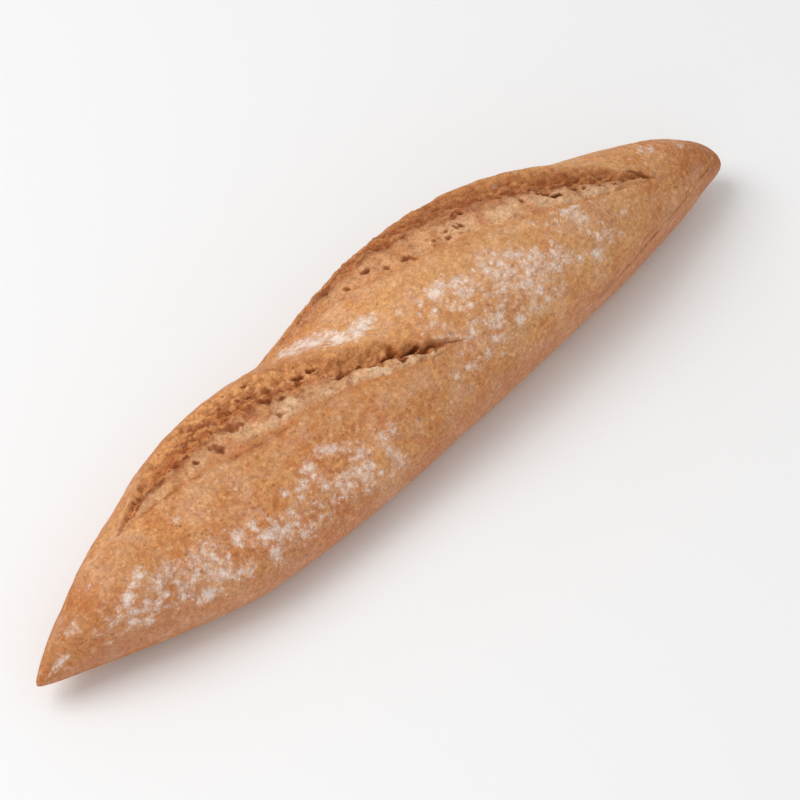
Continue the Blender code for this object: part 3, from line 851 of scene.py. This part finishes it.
class ROLL_OT_flour(bpy.types.Operator):
    """Dust the roll with loose grains of flour where it has clung"""

    bl_idname = "bread.flour"
    bl_label = "Loose Flour"

    def execute(self, context):
        look = context.scene.roll_look
        roll = bpy.data.objects["baked_roll"]
        deselect()
        roll.select_set(True)
        context.view_layer.objects.active = roll
        bpy.ops.object.duplicate()
        flour = context.object
        flour.name = flour.data.name = "flour_grains"
        # The copy becomes a piece of its own, so it drops any custom properties it took from the
        # roll.
        for tag in list(flour.keys()):
            del flour[tag]
        scatter = flour.modifiers.new("scatter", "NODES")
        scatter.node_group = self.scatter_tree(look, loose_flour(look))
        bpy.ops.object.modifier_apply(modifier=scatter.name)
        if not len(flour.data.polygons):
            self.report({"ERROR"}, "no flour was scattered")
            return {"CANCELLED"}
        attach(flour, "root")
        return {"FINISHED"}

    @staticmethod
    def scatter_tree(look, material):
        """Scatters small rounded grains by the flour mask and keeps only the grains."""
        tree = bpy.data.node_groups.new("flour_scatter", "GeometryNodeTree")
        for way in ("INPUT", "OUTPUT"):
            tree.interface.new_socket("Geometry", in_out=way,
                                      socket_type="NodeSocketGeometry")
        start = node(tree, "NodeGroupInput").outputs[0]
        mask = node(tree, "GeometryNodeInputNamedAttribute",
                    {"data_type": "FLOAT", "Name": "grains"}).outputs["Attribute"]
        thick = node(tree, "ShaderNodeMath", {"operation": "POWER"}, _0=mask)
        thick.inputs[1].default_value = 1.7     # grains gather where the dusting is thickest
        count = node(tree, "ShaderNodeMath", {"operation": "MULTIPLY"}, _0=thick.outputs[0])
        count.inputs[1].default_value = look.grains * SQUARE_MM
        points = node(tree, "GeometryNodeDistributePointsOnFaces", {"Seed": 4},
                      Mesh=start, Density=count.outputs[0])
        size = node(tree, "FunctionNodeRandomValue", {"data_type": "FLOAT", "Seed": 1})
        for name, radius in zip(("Min", "Max"), GRAIN_RADII):
            size.inputs[name].default_value = radius * MM
        turn = node(tree, "FunctionNodeRandomValue", {"data_type": "FLOAT_VECTOR", "Seed": 2})
        turn.inputs[1].default_value = (math.tau, math.tau, math.tau)
        grain = node(tree, "GeometryNodeMeshIcoSphere", {"Radius": 1.0, "Subdivisions": 1})
        placed = node(tree, "GeometryNodeInstanceOnPoints", None,
                      Points=points.outputs["Points"], Instance=grain.outputs["Mesh"],
                      Rotation=turn.outputs["Value"], Scale=size.outputs[1])
        real = node(tree, "GeometryNodeRealizeInstances", None,
                    Geometry=placed.outputs["Instances"])
        done = node(tree, "GeometryNodeSetMaterial", {"Material": material},
                    Geometry=real.outputs["Geometry"])
        node(tree, "NodeGroupOutput", None, Geometry=done.outputs["Geometry"])
        return tree


class ROLL_OT_studio(bpy.types.Operator):
    """Set out the floor, the lights and the camera"""

    bl_idname = "bread.studio"
    bl_label = "Studio"

    def execute(self, context):
        look = context.scene.studio_look
        deselect()
        bpy.ops.mesh.primitive_plane_add(size=6.0, location=(0.0, 0.0, 0.0))
        floor = context.object
        floor.name = "floor"
        paint = bpy.data.materials.new("matt_floor_paint")
        paint.use_nodes = True
        shader = paint.node_tree.nodes["Principled BSDF"]
        shader.inputs["Base Color"].default_value = linear(look.floor)
        shader.inputs["Roughness"].default_value = 0.9
        floor.data.materials.append(paint)

        back = Vector((math.sin(look.azimuth) * math.cos(look.elevation),
                       -math.cos(look.azimuth) * math.cos(look.elevation),
                       math.sin(look.elevation)))
        right = Vector((math.cos(look.azimuth), math.sin(look.azimuth), 0.0))
        upward = back.cross(right)
        aim = Vector((0.0, -SIDE_SHIFT, AIM_HEIGHT)) * MM
        aim = aim + right * AIM_RIGHT * MM - upward * AIM_DOWN * MM
        bpy.ops.object.camera_add(location=aim + back * look.distance)
        camera = context.object
        camera.name = "camera"
        camera.data.lens = look.lens
        camera.data.sensor_width = 36.0
        camera.data.clip_start, camera.data.clip_end = 0.01, 20.0
        camera.rotation_mode = "QUATERNION"
        camera.rotation_quaternion = (-back).to_track_quat("-Z", "Y")
        context.scene.camera = camera

        for name, place, size, power in (
            ("key_light", (-0.55, 0.45, 1.1), 0.9, look.key),
            ("fill_light", (-0.9, -0.9, 0.7), 1.2, look.fill),
        ):
            bpy.ops.object.light_add(type="AREA", location=place)
            lamp = context.object
            lamp.name = name
            lamp.data.size = size
            lamp.data.energy = power
            lamp.rotation_mode = "QUATERNION"
            lamp.rotation_quaternion = (-Vector(place)).to_track_quat("-Z", "Y")

        world = bpy.data.worlds.new("even_light")
        world.use_nodes = True
        sky = world.node_tree.nodes["Background"]
        sky.inputs["Color"].default_value = (1.0, 1.0, 1.0, 1.0)
        sky.inputs["Strength"].default_value = look.ambient
        context.scene.world = world
        context.scene.view_settings.view_transform = "Standard"
        context.scene.view_settings.look = "None"
        return {"FINISHED"}


class ROLL_PT_bread(bpy.types.Panel):
    """Lists the roll's pieces and its studio"""

    bl_label = "Wholemeal Bread Roll"
    bl_idname = "ROLL_PT_bread"
    bl_space_type = "VIEW_3D"
    bl_region_type = "UI"
    bl_category = "Bread"

    def draw(self, context):
        column = self.layout.column()
        for group in (context.scene.roll_look, context.scene.studio_look):
            for name in group.__annotations__:
                column.prop(group, name)
        column.operator(ROLL_OT_crust.bl_idname)
        column.operator(ROLL_OT_flour.bl_idname)
        column.operator(ROLL_OT_studio.bl_idname)


CLASSES = (RollLook, StudioLook, ROLL_OT_crust, ROLL_OT_flour, ROLL_OT_studio, ROLL_PT_bread)


def register():
    for cls in CLASSES:
        bpy.utils.register_class(cls)
    bpy.types.Scene.roll_look = bpy.props.PointerProperty(type=RollLook)
    bpy.types.Scene.studio_look = bpy.props.PointerProperty(type=StudioLook)


def unregister():
    del bpy.types.Scene.studio_look
    del bpy.types.Scene.roll_look
    for cls in reversed(CLASSES):
        bpy.utils.unregister_class(cls)


def main():
    register()
    bpy.ops.bread.crust()
    bpy.ops.bread.flour()
    bpy.ops.bread.studio()


if __name__ == "__main__":
    main()
